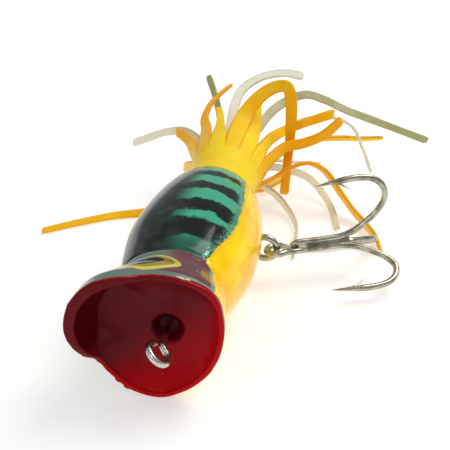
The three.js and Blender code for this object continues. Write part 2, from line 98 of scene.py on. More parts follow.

# Each strand: name, angle at which it leaves its tube (0 toward +x, 90 up), widths at root and tip, tones
# at root and tip of painted shade, from lit and palest (0) to shaded and deepest (1), and the points that it
# follows.
OUTER_STRANDS = [
    ("arch", 78, (3.8, 1.7), (0.5, 0.9), [
        (1.7, 60, 17.8), (2.6, 62.4, 19.1), (4.6, 64.3, 21.1), (7.1, 65, 22.6), (9.2, 64.5, 23),
        (10, 64, 21.1), (10.2, 63.5, 15.9), (9.8, 63.5, 8.6), (9.3, 63.4, 1.4)]),
    ("upper_rear", 53, (3.8, 2.2), (0.35, 0.5), [(3.8, 62, 16), (3.4, 65.4, 17.6), (3, 68.4, 19)]),
    ("upper_left", 106, (3.3, 1.2), (0.3, 0.5), [(-2.6, 61.6, 17.2), (-3.4, 64.4, 17.9)]),
    ("rear_left", 134, (3.6, 1.3), (0.6, 0.95), [
        (-5.2, 61, 15.2), (-6.2, 65, 15.4), (-5.6, 68.4, 16.8), (-4.2, 71, 17.8), (-2.6, 73.6, 18.6)]),
    ("short_left", 162, (4.0, 1.8), (0.5, 0.9), [(-8.4, 60.5, 12.6), (-10.2, 63, 12.4), (-11.6, 65, 12)]),
    ("left_floor", 211, (2.3, 1.2), (0.5, 0.75), [
        (-7.8, 57, 3.9), (-10.8, 55.4, 1.4), (-15, 53.2, 0.8), (-20.4, 51.2, 0.7), (-26, 48, 0.6),
        (-32.3, 43.5, 0.6)]),
    ("right_pale", 28, (2.7, 1.7), (0.3, 0.6), [
        (6.6, 62, 13.4), (9, 66, 13.6), (12.5, 66.8, 15), (17.6, 69, 16.3)]),
    ("right_short", 3, (3.0, 1.8), (0.6, 0.9), [
        (9.4, 60.6, 12.6), (13, 62, 13.2), (16.4, 62.6, 14.8), (19.4, 64.6, 17.2)]),
    ("right_long", 339, (2.4, 1.1), (0.7, 0.5), [
        (7.2, 62.4, 8.9), (9.4, 66, 9.6), (13, 67.6, 11), (19, 69.6, 11), (22.6, 72, 10), (26.6, 75, 9)]),
    ("hook_side", 313, (4.6, 2.6), (0.9, 0.6), [
        (7.8, 59.6, 6.7), (10.9, 60.4, 8.8), (14, 61, 9.6), (17, 61.4, 8), (19.8, 60.6, 4.6),
        (22.8, 57.8, 2.2), (26, 53.8, 1.1), (28, 50, 0.8), (28.6, 46.6, 0.8)]),
    ("under_right", 286, (2.5, 1.6), (0.7, 0.5), [
        (2.6, 60.6, 3.2), (4.4, 64.4, 1.1), (7.2, 69, 0.8), (9.6, 75, 0.8)]),
    ("under_middle", 260, (2.5, 1.6), (0.7, 0.5), [
        (-1.6, 61, 3), (-2.2, 66, 0.8), (-1.6, 72, 0.6), (-2.8, 79, 0.6)]),
    ("under_left", 235, (2.5, 1.6), (0.7, 0.5), [
        (-5, 61, 3.2), (-5.6, 65.4, 1.1), (-5.6, 70, 0.8), (-5.5, 74.5, 0.8)]),
    ("low_left", 189, (2.3, 1.2), (0.6, 0.4), [
        (-8.8, 60.6, 7.2), (-10, 65.4, 3), (-9.8, 70, 1.1), (-9.6, 74.4, 0.9)]),
]
INNER_STRANDS = [
    ("plume", 98, (2.5, 1.6), (0.0, 0.0), [
        (-0.8, 62, 15.2), (-0.8, 66, 17.4), (0.2, 69.6, 19.6), (3.6, 71.4, 21.6), (8, 71.6, 22.6),
        (11.4, 70.6, 22.6)]),
    ("upright", 134, (1.7, 1.3), (0.8, 1.0), [
        (-3.4, 62, 13), (-3.8, 68, 13.4), (-5.6, 73.4, 15.6), (-7.6, 76.6, 18.8)]),
    ("left", 170, (2.2, 1.4), (1.0, 0.0), [
        (-6.4, 62, 11.6), (-10, 65.4, 12), (-14.4, 67, 10.7), (-18, 68, 8.7), (-21, 68, 7.3)]),
    ("long_right", 62, (2.1, 1.4), (0.3, 1.0), [
        (3.4, 62.6, 13.8), (6.2, 67.4, 16.6), (9.1, 70, 18), (12.1, 71, 18.8), (15.3, 71.2, 18),
        (19.5, 71.6, 16), (26, 74, 12.7), (35.2, 76, 8.7)]),
    ("front_floor", 303, (1.7, 1.4), (0.2, 0.0), [
        (4.2, 61, 4.6), (8, 60.4, 2.8), (11, 57.4, 1.2), (13, 52.6, 0.8), (13.5, 47, 0.7),
        (13.6, 42.4, 0.7)]),
    ("middle_floor", 350, (1.7, 1.3), (0.3, 0.0), [
        (5.8, 62.4, 7.4), (9.4, 66.2, 5.2), (13.6, 66.8, 3.4), (17, 63.8, 1.4), (19, 59, 0.8),
        (20.4, 53, 0.7)]),
    ("thin_right", 26, (1.0, 0.5), (0.0, 0.0), [
        (5.6, 64, 12), (11, 70.4, 13.6), (16.4, 71.4, 14.4), (21, 70.4, 13.2), (23.3, 67, 10.7),
        (25.3, 65, 6.7)]),
    ("rear", 206, (2.1, 1.4), (0.6, 0.1), [(-5, 63, 8.6), (-7.4, 69, 6), (-8.6, 74, 2.2), (-11, 80, 0.8)]),
    ("rear_low", 242, (2.1, 1.4), (0.4, 0.2), [
        (-1.6, 63, 6.6), (-2, 68.6, 3.6), (1.2, 74, 1.6), (3.6, 80, 0.5)]),
    ("rear_right", 278, (2.1, 1.4), (0.3, 0.1), [
        (2, 63, 7.2), (5.4, 69, 5.4), (9.6, 74.6, 2.6), (14.4, 79, 0.5)]),
]

CAMERA = {"azimuth": 9.91, "elevation": 30.19, "distance": 212.19, "target": (2.22, 38.78, 8), "lens": 99.28}

# ---- Places ----

tube_low, tube_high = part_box("skirt_outer_tube")
_, shell_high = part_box("left_shell")
JAW = np.array([
    (tube_low.x + tube_high.x) / 2,
    shell_high.y - STEM_END * MM,
    (tube_low.z + tube_high.z) / 2 - AXIS_HEIGHT * MM,
])


def place(points):
    """Points in the lure's millimetres as points in the frame."""
    return np.asarray(points, float) * MM + JAW


def turn_matrix(angle, axis):
    return np.array(Matrix.Rotation(angle, 3, axis))


BODY_TURN = turn_matrix(ROLL, "Y")


def from_body(points):
    """Points in the body's own axes, rolled about the line tie's axis, as the lure's millimetres."""
    return np.asarray(points, float) @ BODY_TURN.T + np.array([0, 0, AXIS_HEIGHT])


# ---- Curves ----

def along(table, column, value):
    """One column of a table at a place between its rows, on a smooth curve through them."""
    last = len(table) - 1
    at = min(max(value, table[0][0]), table[last][0])
    k = 0
    while k < last - 1 and at > table[k + 1][0]:
        k += 1

    def slope(i):
        low, high = table[max(i - 1, 0)], table[min(i + 1, last)]
        return (high[column] - low[column]) / (high[0] - low[0])

    span = table[k + 1][0] - table[k][0]
    t = (at - table[k][0]) / span
    rise = table[k + 1][column] - table[k][column]
    bend = t * (1 - t) * ((1 - t) * (slope(k) * span - rise) - t * (slope(k + 1) * span - rise))
    return table[k][column] + t * rise + bend


def smoothstep(value, low, high):
    t = np.clip((value - low) / (high - low), 0, 1)
    return t * t * (3 - 2 * t)


def smooth_curve(points, count):
    """A centripetal Catmull-Rom curve through the points, as evenly spaced points."""
    run = np.array(points, float)
    run = np.vstack([2 * run[0] - run[1], run, 2 * run[-1] - run[-2]])
    parts = []
    s = np.linspace(0, 1, 40, endpoint=False)[:, None]
    for p0, p1, p2, p3 in zip(run, run[1:], run[2:], run[3:]):
        d0, d1, d2 = (math.sqrt(np.linalg.norm(b - a)) for a, b in ((p0, p1), (p1, p2), (p2, p3)))
        m1 = ((p1 - p0) / d0 - (p2 - p0) / (d0 + d1) + (p2 - p1) / d1) * d1
        m2 = ((p2 - p1) / d1 - (p3 - p1) / (d1 + d2) + (p3 - p2) / d2) * d1
        parts.append(
            p1 * (2 * s**3 - 3 * s**2 + 1) + m1 * (s**3 - 2 * s**2 + s)
            + p2 * (3 * s**2 - 2 * s**3) + m2 * (s**3 - s**2)
        )
    curve = np.vstack([*parts, run[-2]])
    length = np.r_[0, np.cumsum(np.linalg.norm(np.diff(curve, axis=0), axis=1))]
    even = np.linspace(0, length[-1], count)
    return np.stack([np.interp(even, length, curve[:, k]) for k in range(3)], axis=1)


def frames_along(curve, first_normal):
    """Tangents, and normals carried along the curve from the first without twist."""
    tangents = np.gradient(curve, axis=0)
    tangents /= np.linalg.norm(tangents, axis=1, keepdims=True)
    normal = np.array(first_normal, float)
    normals = []
    for tangent in tangents:
        normal = normal - tangent * (normal @ tangent)
        normal = normal / np.linalg.norm(normal)
        normals.append(normal)
    return tangents, np.array(normals)


# ---- Meshes ----

def mesh_object(name, vertices, faces, material, smooth=True):
    mesh = bpy.data.meshes.new(name)
    mesh.from_pydata(np.asarray(vertices).tolist(), [], faces)
    mesh.update()
    if smooth:
        mesh.shade_smooth()
    mesh.materials.append(material)
    piece = bpy.data.objects.new(name, mesh)
    bpy.context.scene.collection.objects.link(piece)
    return piece


def loft_data(rings):
    """Vertices and faces of a closed solid through rings of equal counts, facing out."""
    rings = np.asarray(rings, float)
    rows, count = rings.shape[:2]
    vertices = rings.reshape(-1, 3)
    vertices = np.vstack([vertices, rings[0].mean(axis=0), rings[-1].mean(axis=0)])
    first_cap, last_cap = rows * count, rows * count + 1
    faces = []
    for r in range(rows - 1):
        for i in range(count):
            j = (i + 1) % count
            faces.append((r * count + i, r * count + j, (r + 1) * count + j, (r + 1) * count + i))
    for i in range(count):
        j = (i + 1) % count
        faces.append((j, i, first_cap))
        faces.append(((rows - 1) * count + i, (rows - 1) * count + j, last_cap))
    return vertices, facing_out(vertices, faces)


def facing_out(vertices, faces):
    """The faces of a closed solid, turned round if they face in."""
    corners = np.array([(face[0], b, c) for face in faces for b, c in zip(face[1:-1], face[2:])])
    a, b, c = (vertices[corners[:, k]] for k in range(3))
    volume = np.einsum("ij,ij->", a, np.cross(b, c))
    return [tuple(reversed(face)) for face in faces] if volume < 0 else faces


def point_values(piece, name, values):
    """Stores a number, or a row of three, for each vertex, for the material to read."""
    values = np.asarray(values, np.float32)
    form, key = ("FLOAT", "value") if values.ndim == 1 else ("FLOAT_VECTOR", "vector")
    piece.data.attributes.new(name, form, "POINT").data.foreach_set(key, values.ravel())


def wire_rings(points, radius_at, steps, sides=20, first_normal=(0, 0, 1), flatten=None):
    """Rings of a round wire along a smooth curve. flatten gives how much thinner it is across its normal."""
    curve = smooth_curve(points, steps)
    tangents, normals = frames_along(curve, first_normal)
    turn = np.linspace(0, 2 * math.pi, sides, endpoint=False)
    rings = []
    for s, (centre, tangent, normal) in enumerate(zip(curve, tangents, normals)):
        share = s / (steps - 1)
        side = np.cross(tangent, normal)
        radius = radius_at(share)
        thin = 1 if flatten is None else flatten(share)
        rings.append(
            centre + radius * (np.outer(np.cos(turn) * thin, normal) + np.outer(np.sin(turn), side))
        )
    return np.array(rings)


def joined(parts):
    """Several closed solids as one list of vertices and faces."""
    vertices, faces, start = [], [], 0
    for part_vertices, part_faces in parts:
        vertices.append(part_vertices)
        faces.extend(tuple(i + start for i in face) for face in part_faces)
        start += len(part_vertices)
    return np.vstack(vertices), faces


# ---- Material nodes ----

def linear(red, green, blue):
    """An sRGB colour of 0 to 255 as Blender's linear colour."""
    channels = []
    for value in (red, green, blue):
        c = value / 255
        channels.append(c / 12.92 if c <= 0.04045 else ((c + 0.055) / 1.055) ** 2.4)
    return (*channels, 1.0)


class Field:
    """A number that varies over a surface, made by math nodes."""

    def __init__(self, paint, socket):
        self.paint, self.socket = paint, socket

    def math(self, operation, other=None):
        node = self.paint.node("ShaderNodeMath", operation=operation)
        self.paint.link(self, node.inputs[0])
        if other is not None:
            self.paint.link(other, node.inputs[1])
        return Field(self.paint, node.outputs[0])

    def __add__(self, other):
        return self.math("ADD", other)

    def __sub__(self, other):
        return self.math("SUBTRACT", other)

    def __mul__(self, other):
        return self.math("MULTIPLY", other)

    def __neg__(self):
        return self * -1.0

    def __abs__(self):
        return self.math("ABSOLUTE")

    def inverse(self):
        return -self + 1.0

    def step(self, low, high):
        """0 below low and 1 above high, with a smooth change between; low may be the larger."""
        node = self.paint.node("ShaderNodeMapRange", interpolation_type="SMOOTHSTEP")
        falling = low > high
        self.paint.link(self, node.inputs["Value"])
        node.inputs["From Min"].default_value = min(low, high)
        node.inputs["From Max"].default_value = max(low, high)
        node.inputs["To Min"].default_value = 1.0 if falling else 0.0
        node.inputs["To Max"].default_value = 0.0 if falling else 1.0
        return Field(self.paint, node.outputs["Result"])


class Paint:
    """A material being made: fields to read, colours to mix and a shader to feed."""

    def __init__(self, name):
        self.material = bpy.data.materials.new(name)
        self.material.use_nodes = True
        self.tree = self.material.node_tree
        self.shader = self.tree.nodes["Principled BSDF"]

    def node(self, kind, **settings):
        node = self.tree.nodes.new(kind)
        for key, value in settings.items():
            setattr(node, key, value)
        return node

    def link(self, value, socket):
        if isinstance(value, Field):
            self.tree.links.new(value.socket, socket)
        elif isinstance(value, bpy.types.NodeSocket):
            self.tree.links.new(value, socket)
        else:
            socket.default_value = value

    def value(self, name):
        return Field(self, self.node("ShaderNodeAttribute", attribute_name=name).outputs["Fac"])

    def vector(self, name):
        return self.node("ShaderNodeAttribute", attribute_name=name).outputs["Vector"]

    def split(self, vector):
        node = self.node("ShaderNodeSeparateXYZ")
        self.tree.links.new(vector, node.inputs[0])
        return [Field(self, node.outputs[k]) for k in range(3)]

    def stretched(self, vector, scale):
        node = self.node("ShaderNodeMapping")
        self.tree.links.new(vector, node.inputs["Vector"])
        node.inputs["Scale"].default_value = scale
        return node.outputs[0]

    def noise(self, vector, scale, detail=3.0, roughness=0.55):
        """Soft noise from 0 to 1; scale is in turns per unit of the vector."""
        node = self.node("ShaderNodeTexNoise")
        self.tree.links.new(vector, node.inputs["Vector"])
        node.inputs["Scale"].default_value = scale
        node.inputs["Detail"].default_value = detail
        node.inputs["Roughness"].default_value = roughness
        return Field(self, node.outputs["Fac"])

    def flakes(self, vector, scale):
        """A random number from 0 to 1 for each small cell."""
        node = self.node("ShaderNodeTexVoronoi")
        self.tree.links.new(vector, node.inputs["Vector"])
        node.inputs["Scale"].default_value = scale
        split = self.node("ShaderNodeSeparateColor")
        self.tree.links.new(node.outputs["Color"], split.inputs[0])
        return Field(self, split.outputs[0])

    def mix(self, share, first, second):
        node = self.node("ShaderNodeMix", data_type="RGBA")
        self.link(share, node.inputs[0])
        self.link(first, node.inputs[6])
        self.link(second, node.inputs[7])
        return node.outputs[2]

    def bump(self, height, distance):
        """Surface relief from a height of 0 to 1 that stands for distance in metres."""
        node = self.node("ShaderNodeBump")
        node.inputs["Distance"].default_value = distance
        self.link(height, node.inputs["Height"])
        self.tree.links.new(node.outputs[0], self.shader.inputs["Normal"])

    def finish(self, colour, roughness, metallic=0.0, **uniform):
        self.link(colour, self.shader.inputs["Base Color"])
        self.link(roughness, self.shader.inputs["Roughness"])
        self.link(metallic, self.shader.inputs["Metallic"])
        for name, value in uniform.items():
            self.shader.inputs[name.replace("_", " ")].default_value = value
        return self.material


# ---- Body materials ----

DARK = linear(22, 30, 29)
BACK_GREY = linear(46, 58, 58)
EMERALD = linear(62, 165, 125)
DEEP_GREEN = linear(34, 74, 60)
MINT = linear(158, 214, 180)
YELLOW = linear(255, 222, 10)
AMBER_YELLOW = linear(255, 196, 0)
HEAD_GREY = linear(96, 108, 100)
PALE_GREEN = linear(146, 188, 158)
PLUM = linear(122, 74, 80)
CREASE_SHADE_MAROON = linear(72, 10, 18)
RED = linear(150, 4, 16)
ORANGE = linear(236, 92, 8)
RING_YELLOW = linear(206, 190, 62)
AMBER = linear(140, 112, 24)
PUPIL_BLACK = linear(12, 16, 22)
CREAM = linear(226, 208, 178)
EMERALD_LIGHT = linear(84, 186, 146)
PLUM_DARK = linear(104, 66, 72)
RING_PALE = linear(222, 212, 120)
AMBER_BRIGHT = linear(184, 158, 40)
IRIS_LINE = linear(60, 56, 30)
DOT_EDGE = linear(70, 52, 18)
DOT_MIDDLE = linear(176, 140, 40)
# Mouth reds: one red paint, with lit and shaded copies of it that are painted light and shade.
MOUTH_SHADED_RED = linear(96, 14, 22)
MOUTH_LIT_RED = linear(184, 0, 14)
WALL_SHADE_RED = linear(76, 2, 8)
JAW_LIT_RED = linear(178, 0, 6)
LIP_SHADED_RED = linear(104, 14, 24)
LIP_LIT_RED = linear(186, 4, 16)
RECESS_SHADE_RED = linear(52, 2, 6)
TARNISH = linear(104, 98, 74)
TARNISH_DARK = linear(62, 56, 40)


def spot(y, angle, spec):
    """Distance in millimetres from a round mark's middle, over the surface of one flank."""
    across = (angle - spec["angle"]) * (math.pi / 180 * EYE_ARM)
    down = (y - spec["y"]) * (1 / EYE_SQUASH)
    return (across * across + down * down).math("SQRT")


def band(y, centre, half_width, edge):
    """1 inside a stripe whose middle is the field centre, 0 outside."""
    return abs(y - centre).step(half_width + edge, half_width - edge)


def shell_colour(paint, where, y, angle):
    """The paint of the back, flanks, belly and head, outside the mouth."""
    soft = paint.noise(where, 0.35, detail=2)
    ragged = paint.noise(where, 1.6, detail=4, roughness=0.65)
    fleck = paint.flakes(where, 6.5)
    drift = (soft - 0.5) * 14.0

    # Airbrushed dark back over the emerald flank.
    back = (angle + drift + y.step(36, 42) * 14.0).step(112, 134)
    colour = paint.mix(paint.noise(where, 0.9) * 0.5, EMERALD, EMERALD_LIGHT)
    nose_shade = (y + (ragged - 0.5) * 3.0).step(17, 12.5) * 0.85
    colour = paint.mix(nose_shade, colour, DEEP_GREEN)
    lean = (angle - 95.0) * (angle - 95.0) * 0.0009
    wave = (paint.noise(where, 0.42, detail=2) - 0.5) * 3.0 + (ragged - 0.5) * 0.9
    stripes = [(40.3, 0.85, 0.25), (35.3, 0.95, 0.2), (29.4, 1.4, 0.25), (23.0, 1.7, 0.3), (17.0, 2.3, 0.55)]
    fade = (angle + (ragged - 0.5) * 10.0).step(73, 79)
    for middle, half, softness in stripes:
        stripe = band(y + wave + lean, middle, half, softness)
        colour = paint.mix(stripe * fade, colour, DARK)
    back_colour = paint.mix(soft.step(0.35, 0.7), DARK, BACK_GREY)
    colour = paint.mix(back, colour, back_colour)

    # Glittering edge where the green meets the yellow belly.
    edge_angle = y.step(22, 10) * 13.0 + 71.0
    from_edge = angle - edge_angle + (ragged - 0.5) * 7.0
    near_edge = abs(from_edge - 2.0).step(8.0, 0.5)
    glitter = near_edge * fleck.step(0.66, 0.72) * 0.7
    colour = paint.mix(near_edge * fleck.step(0.36, 0.3) * 0.8, colour, DEEP_GREEN)
    colour = paint.mix(glitter, colour, MINT)
    belly = from_edge.step(0.8, -0.8)
    belly_colour = paint.mix(paint.noise(where, 0.16, detail=1).step(0.38, 0.62), YELLOW, AMBER_YELLOW)
    colour = paint.mix(belly, colour, belly_colour)
    return colour, fleck, glitter


def head_colour(paint, where, y, angle, colour):
    """The mask round the eye, in front of the crease, and a line of painted shade along the crease."""
    ragged = (paint.noise(where, 1.9, detail=4) - 0.5) * 0.7
    crease_y = angle.step(60, 92) * 2.0 + 8.9
    in_front = (crease_y - y + ragged * 0.3).step(0.0, 0.2)
    mask = in_front * (angle + ragged * 3.0).step(72.5, 74.0)
    pale = paint.noise(where, 2.5) * (angle.step(112, 92) * 0.75 + 0.25)
    grey = paint.mix(pale, HEAD_GREY, PALE_GREEN)
    colour = paint.mix(mask, colour, grey)
    cheek = (angle + ragged * 2.0).step(77.0, 78.0) * angle.step(128, 112) * (y + ragged * 0.4).step(1.6, 1.8)
    colour = paint.mix(mask * cheek, colour, paint.mix(paint.noise(where, 1.2), PLUM, PLUM_DARK))
    # Painted shade: a dark maroon line along the crease behind the head, for the shadow at the crease's edge.
    crease_shade_line = abs(crease_y - y - 0.1).step(0.26, 0.08) * band(angle, 104.0, 22.0, 4.0)
    return paint.mix(crease_shade_line, colour, CREASE_SHADE_MAROON)


def eye_colour(paint, where, y, angle, colour):
    """Ring, iris, pupil and the small amber dot, alike on both flanks."""
    from_eye = spot(y, angle, EYE)
    from_pupil = spot(y, angle, PUPIL)
    from_dot = spot(y, angle, AMBER_DOT)
    ring = from_eye.step(EYE["radius"] + 0.08, EYE["radius"] - 0.08)
    ring_paint = paint.mix(paint.noise(where, 3.0), RING_YELLOW, RING_PALE)
    colour = paint.mix(ring, colour, ring_paint)
    iris = from_eye.step(4.85, 4.55)
    spokes = paint.mix(paint.noise(where, 4.0, detail=5), AMBER, AMBER_BRIGHT)
    colour = paint.mix(iris, colour, spokes)
    colour = paint.mix(abs(from_eye - 4.8).step(0.2, 0.05) * 0.7, colour, IRIS_LINE)
    radius = AMBER_DOT["radius"]
    colour = paint.mix(from_dot.step(radius + 0.3, radius), colour, DOT_EDGE)
    colour = paint.mix(from_dot.step(radius, radius - 0.25), colour, DOT_MIDDLE)
    return paint.mix(from_pupil.step(PUPIL["radius"] + 0.1, PUPIL["radius"] - 0.1), colour, PUPIL_BLACK)


def shell_material():
    paint = Paint("lacquered_paint")
    where = paint.vector("lure")
    x, y, z = paint.split(where)
    angle = abs(z.math("ARCTAN2", x)) * (180 / math.pi)
    colour, fleck, glitter = shell_colour(paint, where, y, angle)
    colour = head_colour(paint, where, y, angle, colour)
    colour = eye_colour(paint, where, y, angle, colour)

    # Red of the mouth comes just round the rim, and fades through orange over the yellow belly.
    rim_side = paint.value("behind_rim") + (paint.noise(where, 1.4, detail=3) - 0.5) * 0.3
    colour = paint.mix(angle.step(70, 58) * rim_side.step(1.7, 0.6), colour, ORANGE)
    reach = rim_side - angle.step(112, 78) * 0.6
    colour = paint.mix(reach.step(0.55, 0.4), colour, RED)

    # Paint chips down to the cream plastic, and fine scuffs.
    on_edge = band(angle, 99.0, 5.0, 1.0) * band(reach, 0.55, 0.3, 0.08)
    chip = on_edge * paint.noise(where, 1.1).step(0.42, 0.5)
    tiny = paint.noise(where, 2.1, detail=2).step(0.79, 0.81) * angle.step(90, 110)
    chips = (chip + tiny).math("MINIMUM", 1.0)
    colour = paint.mix(chips, colour, CREAM)
    scuff = paint.noise(paint.stretched(where, (1, 0.25, 1)), 5.0, detail=6, roughness=0.7)
    roughness = scuff.step(0.5, 0.85) * 0.25 + 0.13 + chips * 0.3
    metallic = glitter * 0.7
    peel = paint.noise(where, 1.4, detail=2) * 0.6 + scuff * 0.12 + fleck * glitter * 0.5 - chips * 1.5
    paint.bump(peel, 0.03 * MM)
    return paint.finish(colour, roughness, metallic, Coat_Weight=0.26, Coat_Roughness=0.05, Coat_IOR=1.45,
                        Specular_IOR_Level=0.08)


def mouth_material():
    paint = Paint("mouth_red")
    where = paint.vector("lure")
    x, y, z = paint.split(where)
    # Painted light and shade: the cup's floor is painted darker toward the upper lip and brighter red toward
    # the jaw, where the light falls.
    toward_lit_jaw = x * 0.92 - z * 0.38 + (paint.noise(where, 0.2, detail=2) - 0.5) * 3.0
    floor_lit_and_shaded_red = paint.mix(toward_lit_jaw.step(-3.0, 9.0), MOUTH_SHADED_RED, MOUTH_LIT_RED)
    # Painted shade: the wall behind the upper lip is painted a darker red for the shadow under the lip.
    colour = paint.mix(paint.value("lip_wall_shade"), floor_lit_and_shaded_red, WALL_SHADE_RED)
    # Painted light: the jaw side of the cup is painted a brighter red where the light falls on it.
    jaw_side = paint.value("lip_side").inverse() * paint.value("behind_rim").step(2.2, 0.5)
    colour = paint.mix(jaw_side * toward_lit_jaw.step(-2.0, 6.0), colour, JAW_LIT_RED)
    # Painted light and shade: the lip's flat face is painted darker toward the upper lip and brighter toward
    # the jaw.
    face = paint.value("behind_rim").step(0.35, 0.15)
    colour = paint.mix(face, colour, paint.mix(toward_lit_jaw.step(-8, 4), LIP_SHADED_RED, LIP_LIT_RED))
    # Painted shade: a darker red is painted in the recess round the line tie for the shadow inside it.
    from_axis = (x * x + z * z).math("SQRT")
    recess_shade = from_axis.step(2.9, 2.0) * y.step(2.9, 3.2)
    colour = paint.mix(recess_shade * 0.85, colour, RECESS_SHADE_RED)
    dust = paint.noise(where, 3.2, detail=1).step(0.83, 0.845)
    colour = paint.mix(dust, colour, CREAM)
    wear = paint.noise(where, 2.4, detail=5, roughness=0.65)
    roughness = wear.step(0.3, 0.8) * 0.2 + 0.25
    paint.bump(paint.noise(where, 0.9, detail=2) + dust * 1.2 + wear * 0.15, 0.03 * MM)
    return paint.finish(colour, roughness, Specular_IOR_Level=0.06, Coat_Weight=0.05, Coat_Roughness=0.1)


# ---- Body ----

ROUND = 320
ANGLES = np.linspace(0, 2 * math.pi, ROUND, endpoint=False)
FROM_BELLY = np.degrees(np.arccos(np.cos(ANGLES)))
RIM_RADIUS = np.array([along(MOUTH, 1, a) for a in FROM_BELLY])
RIM_Y = np.array([along(MOUTH, 2, a) for a in FROM_BELLY])
CREASE_Y = np.array([along(CREASE, 1, a) for a in FROM_BELLY])


def body_radius(y):
    across = np.where(np.cos(ANGLES) > 0, along(SECTIONS, 1, y), along(SECTIONS, 2, y))
    flank = along(SECTIONS, 3, y)
    return 1 / np.hypot(np.cos(ANGLES) / across, np.sin(ANGLES) / flank)


def relief(radius, y):
    """Crease behind the head, raised eyes and the moulding seam, added to a ring's radius."""
    shown = smoothstep(FROM_BELLY, 58, 74)
    groove = -0.32 * np.exp(-(((y - CREASE_Y) / 0.32) ** 2)) * shown
    plate = 0.28 * smoothstep(CREASE_Y - y, 0.0, 0.7) * smoothstep(y - RIM_Y, 1.2, 3.0) * shown
    across = np.radians(FROM_BELLY - EYE["angle"]) * EYE_ARM
    share = np.clip(np.hypot(across, (y - EYE["y"]) / EYE_SQUASH) / EYE["radius"], 0, 1)
    dome = EYE_DOME * (1 - share**2)
    seam_width = 0.22 / radius
    seam = 0.05 * (np.exp(-((np.sin(ANGLES) / seam_width) ** 2)))
    return radius + groove + plate + dome + seam


def flash_on_rim():
    """Moulding flash: small ragged teeth on part of the rim, by angle."""
    rng = np.random.default_rng(7)
    teeth = np.repeat(rng.uniform(0, 1, ROUND // 4) ** 2, 4)
    degrees = (np.degrees(ANGLES) + 180) % 360 - 180
    shown = smoothstep(-degrees, 84, 96) * smoothstep(-degrees, 158, 146)
    return 0.4 * shown * teeth


def ring(radius, y):
    y = np.broadcast_to(y, ANGLES.shape)
    return np.stack([radius * np.cos(ANGLES), y, radius * np.sin(ANGLES)], axis=1)


LIP_SIDE = smoothstep(FROM_BELLY, 126, 162)
LIP_WIDTH = 0.9 + 0.8 * LIP_SIDE
WALL_SHARE = 0.02 + 0.22 * LIP_SIDE
MOUTH_SHARES = np.linspace(1, 0, 70)


def mouth_rings():
    """The recess round the line tie and the cup round it, from the middle out: a dish on the jaw's side and
    a wall behind the upper lip."""
    rings = [ring(np.full(ROUND, radius), FLOOR_Y + depth) for radius, depth in RECESS]
    floor_start = RECESS[-1][0] + 0.15
    edge = RIM_RADIUS - LIP_WIDTH
    edge_y = RIM_Y + LIP_CORNER
    for share in MOUTH_SHARES:
        floor_y = FLOOR_Y - (FLOOR_Y - edge_y) * (1 - LIP_SIDE) * (1 - share) ** 2
        wall = 1 - (1 - np.minimum(1.0, share / WALL_SHARE)) ** 1.4
        rings.append(ring(edge + (floor_start - edge) * share, edge_y + (floor_y - edge_y) * wall))
    return rings


def lip_wall_shade(ring_count):
    """1 on the wall behind the upper lip and 0 elsewhere, for each point of the rings; the mouth's material
    paints its shade there.
    """
    shown = np.zeros((ring_count, ROUND))
    for row, share in enumerate(MOUTH_SHARES, len(RECESS)):
        shown[row] = smoothstep(WALL_SHARE - share, 0.0, 0.02) * smoothstep(LIP_SIDE, 0.25, 0.8)
    return shown


def rim_rings():
    """The lip's flat face between two tight corners."""
    flash = flash_on_rim()
    rings = []
    for turn in np.radians(np.linspace(15, 90, 5)):
        inner = RIM_RADIUS - LIP_WIDTH + LIP_CORNER * (1 - math.cos(turn))
        rings.append(ring(inner, RIM_Y + LIP_CORNER * (1 - math.sin(turn))))
    for share in (0.33, 0.67):
        rings.append(ring(RIM_RADIUS - LIP_CORNER - (LIP_WIDTH - 2 * LIP_CORNER) * (1 - share), RIM_Y))
    for turn in np.radians(np.linspace(90, 12, 6)):
        outer = RIM_RADIUS - LIP_CORNER * (1 - math.cos(turn)) + flash * math.cos(turn)
        rings.append(ring(outer, RIM_Y + LIP_CORNER * (1 - math.sin(turn))))
    return rings


def head_rings():
    rings = []
    start_y = RIM_Y + LIP_CORNER
    for share in np.linspace(0, 1, 60)[:-1]:
        radius = body_radius(NECK) + (RIM_RADIUS - body_radius(NECK)) * (1 - smoothstep(share, 0, 1))
        y = start_y + (NECK - start_y) * share
        rings.append(ring(relief(radius, y), y))
    return rings


def tail_rings():
    shares = np.sin(np.linspace(0, math.pi / 2, 150))
    rings = [ring(relief(body_radius(y), y), y) for y in NECK + (BODY_END - NECK) * shares]
    for share in (0.5, 1):
        rings.append(ring(body_radius(BODY_END) * (1 - share) + STEM_RADIUS * share, BODY_END + 0.15 * share))
    rings.append(ring(np.full(ROUND, STEM_RADIUS), STEM_END))
    return rings


def body_piece():
    mouth, rim, outside = mouth_rings(), rim_rings(), head_rings() + tail_rings()
    rings = np.array(mouth + rim + outside)
    vertices, faces = loft_data(rings)
    piece = mesh_object("painted_body", place(from_body(vertices)), faces, shell_material())
    piece.data.materials.append(mouth_material())
    point_values(piece, "lure", vertices)
    behind_rim = rings[:, :, 1] - RIM_Y
    point_values(piece, "behind_rim", np.r_[behind_rim.ravel(), FLOOR_Y, STEM_END])
    point_values(piece, "lip_wall_shade", np.r_[lip_wall_shade(len(rings)).ravel(), 0, 0])
    point_values(piece, "lip_side", np.r_[np.tile(LIP_SIDE, len(rings)), 0, 0])
    inside = len(mouth) + len(rim) - 3
    in_mouth = [min(face) < inside * ROUND for face in faces]
    piece.data.polygons.foreach_set("material_index", np.array(in_mouth, np.int32))
    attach(piece, "lure")
    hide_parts("left_shell", "right_shell")
    return piece


# ---- Wire parts ----

